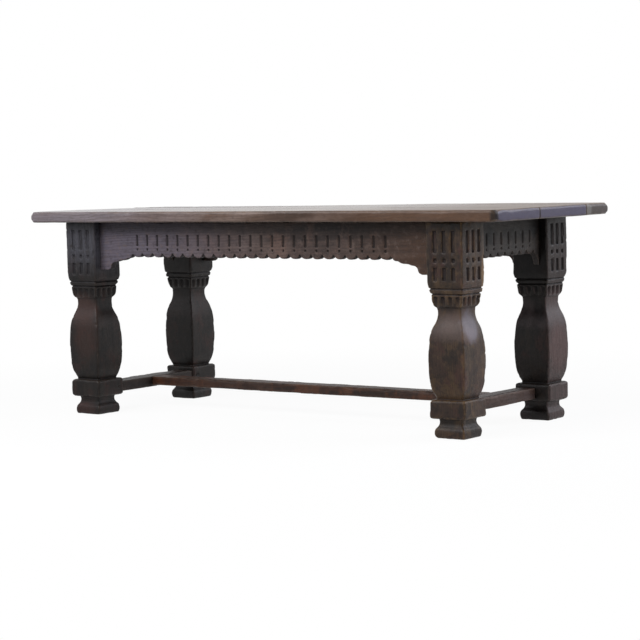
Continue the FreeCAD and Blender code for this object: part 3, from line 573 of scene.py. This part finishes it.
# Heights of the paler band on the leg shoulders: painted sheen of light from above
SHOULDER = (0.318, 0.44)
LEG_LOOK = {
    "deep": srgb(30, 23, 20), "body": srgb(58, 44, 37), "tint": srgb(72, 57, 43),
    "patches": (srgb(77, 59, 40), srgb(66, 44, 39), srgb(34, 29, 26)), "worn": srgb(122, 96, 62),
    "dirt_and_shade": srgb(22, 15, 15), "roughness": 0.34, "shine": 0.17, "pith": (0.0, 0.25, -0.78), "ring": 0.008,
    "streaks": (0.2, 0.66), "lines": 0.28, "bump": 0.3, "speckle": 0.65,
    # shades: painted shadow of the top on the capitals
    "bands": ((*SHOULDER, srgb(80, 67, 62)),), "shades": (("Z", 0.65, 0.725, 0.3),),
}
# A darker copy of the leg look for the front left and both rear legs, which get less light than the front right
# one: painted shade. Its band is painted sheen, and its shade the painted shadow of the top
DARK_LEG_LOOK = {
    **LEG_LOOK, "deep": srgb(16, 13, 12), "body": srgb(30, 24, 22), "tint": srgb(37, 31, 28),
    "patches": (srgb(38, 31, 26), srgb(50, 32, 28), srgb(21, 19, 18)), "worn": srgb(56, 47, 40),
    "dirt_and_shade": srgb(12, 9, 9), "bands": ((*SHOULDER, srgb(52, 43, 40)),), "shades": (("Z", 0.66, 0.725, 0.45),),
}
APRON_LOOK = {
    "deep": srgb(38, 30, 28), "body": srgb(80, 65, 59), "tint": srgb(90, 76, 70),
    "patches": (srgb(88, 68, 60), srgb(66, 54, 50)), "worn": srgb(104, 86, 74), "dirt_and_shade": srgb(17, 13, 12),
    "roughness": 0.4, "shine": 0.18, "pith": (0.0, 0.25, -0.55), "ring": 0.009, "wear": 0.4,
    # shades: painted shadow of the top on the apron
    "lines": 0.25, "shades": (("Z", 0.665, 0.71, 0.47),),
}
# A darker copy of the apron look for the end aprons, which stand in the shade of the top: painted shade; its
# shade is the painted shadow of the top
END_APRON_LOOK = {
    **APRON_LOOK, "deep": srgb(26, 22, 20), "body": srgb(56, 49, 45), "tint": srgb(62, 57, 54),
    "patches": (srgb(58, 50, 44), srgb(40, 37, 35)),
    "shades": (("Z", 0.63, 0.69, 0.5),),
}
TOP_LOOK = {
    "deep": srgb(56, 43, 36), "body": srgb(98, 78, 66), "tint": srgb(108, 93, 86), "worn": srgb(126, 104, 84),
    "dirt_and_shade": srgb(30, 23, 20), "roughness": 0.13, "shine": 0.2, "wear": 0.5, "tilt": 0.02, "bump": 0.045,
    # shades: painted shade on the lowest millimetres of the boards' edges
    "speckle": 0.15, "lines": 0.25, "shades": (("Z", 0.737, 0.729, 0.45),),
    "dulls": (("X", 0.15, 1.0, 0.13),),
}
STRETCHER_LOOK = {
    "deep": srgb(32, 21, 17), "body": srgb(67, 42, 30), "tint": srgb(65, 47, 38),
    "patches": (srgb(80, 48, 31),), "worn": srgb(98, 79, 66), "dirt_and_shade": srgb(18, 13, 11), "roughness": 0.4,
    "shine": 0.18, "wear": 0.65,
}
# A greyer, paler copy for the right stretcher, which gets the cool light from the right: painted light
GREY_STRETCHER_LOOK = {
    **STRETCHER_LOOK, "body": srgb(70, 52, 45), "tint": srgb(84, 72, 70), "patches": (srgb(78, 64, 60),),
    "worn": srgb(132, 110, 96),
}
# A darker copy for the left stretcher, which gets little light: painted shade
DARK_STRETCHER_LOOK = {
    **STRETCHER_LOOK, "deep": srgb(24, 18, 16), "body": srgb(46, 36, 32), "tint": srgb(54, 44, 40),
    "patches": (srgb(52, 36, 28),), "worn": srgb(80, 68, 60),
}
INNER_LOOK = {
    "deep": srgb(72, 54, 40), "body": srgb(118, 92, 68), "tint": srgb(130, 106, 84),
    "worn": srgb(150, 122, 96), "dirt_and_shade": srgb(30, 24, 20), "roughness": 0.6, "shine": 0.2,
}

# Painted light: the top and the front apron turn cool grey to the left, where cool light falls, and warm brown
# to the right
PAINTED_COOL_LIGHT_PURPLE = srgb(84, 79, 90)
PAINTED_WARM_LIGHT_BROWN = srgb(59, 39, 25)
PAINTED_COOL_LIGHT_LEFT = ("X", -0.1, -0.8, srgb(112, 105, 110))
PAINTED_WARM_LIGHT_RIGHT = ("X", 0.1, 0.7, srgb(80, 57, 41))
# Painted light on the end faces of the top that look to the right: lavender on two boards, grey on the rear one
PAINTED_LIGHT_END_LAVENDER = ("facing X", 0.5, 0.85, srgb(64, 63, 90))
PAINTED_LIGHT_END_GREY = ("facing X", 0.5, 0.85, srgb(53, 49, 49))
# Painted shade on the front faces of the left legs
PAINTED_SHADE_FRONT = ("facing Y", -0.5, -0.9, 0.55)

KNOT = ((0.8525, -0.122, 0.672), (0.03, 0.026, 0.034), 0.97, srgb(11, 9, 9))
# A dark patch high on the right apron, near the rear leg
DARK_PATCH_REAR = ((0.8525, 0.17, 0.69), (0.03, 0.035, 0.03), 0.8, srgb(14, 12, 12))
# Painted shade at the front right corner of the top
PAINTED_SHADE_CORNER = ((1.034, -0.388, 0.745), (0.02, 0.02, 0.09), 0.9, srgb(26, 21, 19))
SEAM = ((1.034, -0.1, 0.749), (0.03, 0.004, 0.06), 0.9, srgb(34, 30, 36))
PALE_JOINT = ((1.0375, 0.238, 0.746), (0.006, 0.02, 0.04), 0.4, srgb(128, 126, 121))
# A painted highlight on the right face of the front right neck
PAINTED_HIGHLIGHT_NECK = ((0.87, -0.29, 0.375), (0.03, 0.045, 0.06), 0.5, srgb(128, 122, 130))
RUBBED_ARRIS = ((0.883, -0.212, 0.55), (0.02, 0.022, 0.08), 0.6, srgb(122, 96, 66))
RED_NECK = ((-0.825, -0.335, 0.4), (0.07, 0.03, 0.06), 0.45, srgb(84, 58, 52))
RED_BULB = ((-0.8, -0.352, 0.3), (0.06, 0.03, 0.1), 0.3, srgb(76, 48, 40))
RED_FOOT = ((-0.83, -0.342, 0.02), (0.06, 0.03, 0.03), 0.35, srgb(78, 48, 44))
RED_FACE = ((0.883, 0.285, 0.26), (0.03, 0.07, 0.09), 0.25, srgb(100, 70, 66))


# Forms

# The ledges in the leg capitals are darkened as painted shade
LEG_FORM = {
    "voxel": 0.0018, "kept_share": 0.17, "sway": 0.0012, "sway_size": 0.07, "chip": 0.0022,
    "chip_size": 0.035, "nick": 0.0016, "ripple": 0.0005, "ripple_size": 0.006, "swell": 0.0013,
    "eased": (0.066, 0.132), "ledges": (0.45, 0.725),
}
APRON_FORM = {
    "voxel": 0.0022, "kept_share": 0.2, "sway": 0.0008, "sway_size": 0.07, "chip": 0.001, "chip_size": 0.035,
    "nick": 0.001, "ripple": 0.0005, "ripple_size": 0.006, "swell": 0.0006,
    "notch": (0.5985, 0.609, 0.622, 0.0035),
}
# The aprons' carved side walls are darkened as painted shade
LONG_APRON_FORM = {**APRON_FORM, "walls": 1}
END_APRON_FORM = {**APRON_FORM, "walls": 0}
TOP_FORM = {
    "voxel": 0.003, "kept_share": 0.1, "sway": 0.001, "sway_size": 0.16, "chip": 0.0016, "chip_size": 0.09,
    "nick": 0.001, "ripple": 0.0004, "ripple_size": 0.012, "sag": 0.005,
    "rounded": ((1.015, 1.03), (0.34, 0.37)),
}
STRETCHER_FORM = {
    "voxel": 0.0024, "kept_share": 0.25, "sway": 0.0012, "sway_size": 0.07, "chip": 0.005, "chip_size": 0.05,
    "nick": 0.0016, "ripple": 0.0005, "ripple_size": 0.006,
}
SPLIT_FORM = {**STRETCHER_FORM, "crack": (0.814, 0.0045, 0.006, -0.2, 0.12)}


# Worn pieces: CAD node, direction of the grain, seed, form and look

WORN = (
    # The top's drifts are painted light, and its dark corner painted shade
    ("top_board_front", "X", 1, TOP_FORM,
     {**TOP_LOOK, "pith": (0, 0.25, -0.66), "drifts": (PAINTED_COOL_LIGHT_LEFT, PAINTED_WARM_LIGHT_RIGHT, PAINTED_LIGHT_END_LAVENDER),
      "spots": (PAINTED_SHADE_CORNER, SEAM)}),
    ("top_board_middle", "X", 2, TOP_FORM,
     {**TOP_LOOK, "pith": (0, -0.06, -0.71), "drifts": (PAINTED_COOL_LIGHT_LEFT, PAINTED_WARM_LIGHT_RIGHT, PAINTED_LIGHT_END_LAVENDER),
      "spots": (SEAM,)}),
    ("top_board_rear", "X", 3, TOP_FORM,
     {**TOP_LOOK, "pith": (0, -0.36, -0.68), "drifts": (PAINTED_COOL_LIGHT_LEFT, PAINTED_WARM_LIGHT_RIGHT, PAINTED_LIGHT_END_GREY),
      "spots": (PALE_JOINT,)}),
    # The front right leg: a painted highlight on the neck, painted light on the right face and painted shade on
    # the front of the block and on the foot
    ("leg_front_right", "Z", 4, LEG_FORM,
     {**LEG_LOOK, "spots": (PAINTED_HIGHLIGHT_NECK, RUBBED_ARRIS), "shades": (
         *LEG_LOOK["shades"], ("X", 0.867, 0.88, 1.4), ("Y", -0.343, -0.351, 0.75), ("Z", 0.07, 0.05, 0.8))}),
    # The front left leg: painted cool light on the capital and painted shade on the front faces
    ("leg_front_left", "Z", 5, LEG_FORM,
     {**DARK_LEG_LOOK, "drifts": (("Z", 0.49, 0.64, srgb(82, 82, 90)),),
      "spots": (RED_NECK, RED_BULB, RED_FOOT), "shades": (*DARK_LEG_LOOK["shades"], PAINTED_SHADE_FRONT),
      "dirt_and_shade": srgb(20, 18, 20), "dirt_and_shade_share": 0.6}),
    # The rear right leg: painted light on the right faces, painted sheen on the shoulders and painted shade on
    # the capital
    ("leg_rear_right", "Z", 6, LEG_FORM,
     {**DARK_LEG_LOOK, "drifts": (("facing X", 0.3, 0.8, srgb(71, 56, 54)),),
      "bands": ((*SHOULDER, srgb(74, 64, 64)),), "spots": (RED_FACE,),
      "shades": (("Z", 0.44, 0.5, 0.45), ("Z", 0.58, 0.68, 0.42))}),
    # The rear left leg: painted shade on the front faces
    ("leg_rear_left", "Z", 7, LEG_FORM,
     {**DARK_LEG_LOOK, "shades": (*DARK_LEG_LOOK["shades"], PAINTED_SHADE_FRONT)}),
    # The front apron: painted cool and warm light, and painted shadow beside the left leg
    ("apron_front", "X", 8, LONG_APRON_FORM,
     {**APRON_LOOK, "drifts": (("X", 0.1, -0.6, PAINTED_COOL_LIGHT_PURPLE), ("X", 0.3, 0.75, PAINTED_WARM_LIGHT_BROWN)),
      "shades": (*APRON_LOOK["shades"], ("X", -0.7, -0.745, 0.5))}),
    ("apron_rear", "X", 9, LONG_APRON_FORM, APRON_LOOK),
    ("apron_right", "Y", 10, END_APRON_FORM,
     {**END_APRON_LOOK, "spots": (KNOT, DARK_PATCH_REAR), "dirt_and_shade": srgb(30, 26, 25), "dirt_and_shade_share": 0.3}),
    ("apron_left", "Y", 11, END_APRON_FORM, END_APRON_LOOK),
    ("stretcher_right", "Y", 12, SPLIT_FORM, GREY_STRETCHER_LOOK),
    ("stretcher_left", "Y", 13, STRETCHER_FORM, DARK_STRETCHER_LOOK),
    ("stretcher_long", "X", 14, STRETCHER_FORM, STRETCHER_LOOK),
)
INNER_SEED = 20
PEG_SEED = 21

for node, along, seed, form, look in WORN:
    worn_piece(node, along, seed, form, oak(f"oak_{node}", along, seed, look))

inner_oak = oak("oak_inner", "Z", INNER_SEED, INNER_LOOK)
peg_oak = oak("oak_pegs", "X", PEG_SEED, DARK_LEG_LOOK)
screw_steel = steel("steel_screws")
for node, piece in frame["nodes"].items():
    if not piece.hide_render:
        plain = peg_oak if "pegs" in node else inner_oak
        piece.data.materials.clear()
        piece.data.materials.append(screw_steel if SLOTS[node] == "screw_steel" else plain)


# Floor, world and lamps

WHITE = (1.0, 1.0, 1.0, 1.0)
PAPER = (0.8, 0.8, 0.8, 1.0)
FILL_COLOUR = (0.93, 0.96, 1.0, 1.0)
FILL_STRENGTH = 0.16
FLOOR_HALF = 40.0
FLOOR_DROP = 0.0003
# Share of plain white that the floor shows near the table, and the distances over which it rises to 1
FLOOR_WHITE_SHARE = 0.94
FLOOR_FADE = (1.2, 3.0)


def seen_ray(tree):
    """1 for rays that show the background: from the camera, off a gloss or through glass."""
    path = tree.add("ShaderNodeLightPath")
    shown = tree.math("MAXIMUM", path.outputs["Is Camera Ray"], path.outputs["Is Glossy Ray"])
    return tree.math("MAXIMUM", shown, path.outputs["Is Transmission Ray"])


def make_floor():
    low, high = -FLOOR_HALF, FLOOR_HALF
    corners = [(x, y, -FLOOR_DROP) for x, y in ((low, low), (high, low), (high, high), (low, high))]
    mesh = bpy.data.meshes.new("floor")
    mesh.from_pydata(corners, [], [(0, 1, 2, 3)])
    floor = bpy.data.objects.new("floor", mesh)
    bpy.context.scene.collection.objects.link(floor)
    material = bpy.data.materials.new("floor_paper")
    tree = Tree(material)
    paper = tree.add("ShaderNodeBsdfDiffuse", {"Color": PAPER})
    white = tree.add("ShaderNodeEmission", {"Color": WHITE, "Strength": 1.0})
    whiter = tree.rise(tree.length(tree.place()), *FLOOR_FADE, 1.0 - FLOOR_WHITE_SHARE)
    share = tree.math("MULTIPLY", seen_ray(tree), tree.math("ADD", whiter, FLOOR_WHITE_SHARE))
    tree.surface(tree.add("ShaderNodeMixShader", {0: share, 1: paper.outputs[0], 2: white.outputs[0]}))
    mesh.materials.append(material)


def make_world():
    world = bpy.data.worlds.new("studio")
    bpy.context.scene.world = world
    tree = Tree(world)
    fill = tree.add("ShaderNodeBackground", {"Color": FILL_COLOUR, "Strength": FILL_STRENGTH})
    white = tree.add("ShaderNodeBackground", {"Color": WHITE, "Strength": 1.0})
    both = tree.add("ShaderNodeMixShader", {0: seen_ray(tree), 1: fill.outputs[0], 2: white.outputs[0]})
    tree.surface(both, "ShaderNodeOutputWorld")


# Name, place, target, side, power in watts and colour
LAMPS = (
    ("sky", (0.2, -3.0, 3.6), (0.0, 0.0, 0.5), 2.4, 120.0, (1.0, 0.97, 0.94)),
    ("left_window", (-1.5, -2.7, 2.5), (0.0, -0.3, 0.5), 2.4, 80.0, (0.9, 0.93, 1.0)),
    ("right_window", (3.2, 2.2, 2.5), (0.9, 0.0, 0.5), 3.2, 150.0, (0.88, 0.91, 1.0)),
)


def make_lamps():
    for name, place, target, size, power, colour in LAMPS:
        light = bpy.data.lights.new(name, "AREA")
        light.size, light.energy, light.color = size, power, colour
        lamp = bpy.data.objects.new(name, light)
        lamp.location = place
        lamp.rotation_euler = (Vector(place) - Vector(target)).to_track_quat("Z", "Y").to_euler()
        bpy.context.scene.collection.objects.link(lamp)


# Camera of the photo

PHOTO_PIXELS = 640
FOCAL_PIXELS = 2112.09
SENSOR_MM = 36.0
VIEW_AZIMUTH = math.radians(36.005)
VIEW_ELEVATION = math.radians(4.438)
VIEW_ROLL = math.radians(-1.363)
VIEW_DISTANCE = 7.77945
VIEW_TARGET = Vector((0.041195, 0.0, 0.35463))


def make_camera():
    lens = bpy.data.cameras.new("photo_camera")
    lens.sensor_width = SENSOR_MM
    lens.lens = FOCAL_PIXELS / PHOTO_PIXELS * SENSOR_MM
    camera = bpy.data.objects.new("photo_camera", lens)
    bpy.context.scene.collection.objects.link(camera)
    level = math.cos(VIEW_ELEVATION)
    back = Vector((math.sin(VIEW_AZIMUTH) * level, -math.cos(VIEW_AZIMUTH) * level, math.sin(VIEW_ELEVATION)))
    flat = Vector((math.cos(VIEW_AZIMUTH), math.sin(VIEW_AZIMUTH), 0))
    upright = back.cross(flat)
    right = flat * math.cos(VIEW_ROLL) + upright * math.sin(VIEW_ROLL)
    up = upright * math.cos(VIEW_ROLL) - flat * math.sin(VIEW_ROLL)
    turn = Matrix((right, up, back)).transposed()
    camera.matrix_world = Matrix.Translation(VIEW_TARGET + back * VIEW_DISTANCE) @ turn.to_4x4()
    bpy.context.scene.camera = camera


make_floor()
make_world()
make_lamps()
make_camera()
bpy.context.scene.view_settings.view_transform = "Standard"

bpy.context.view_layer.update()
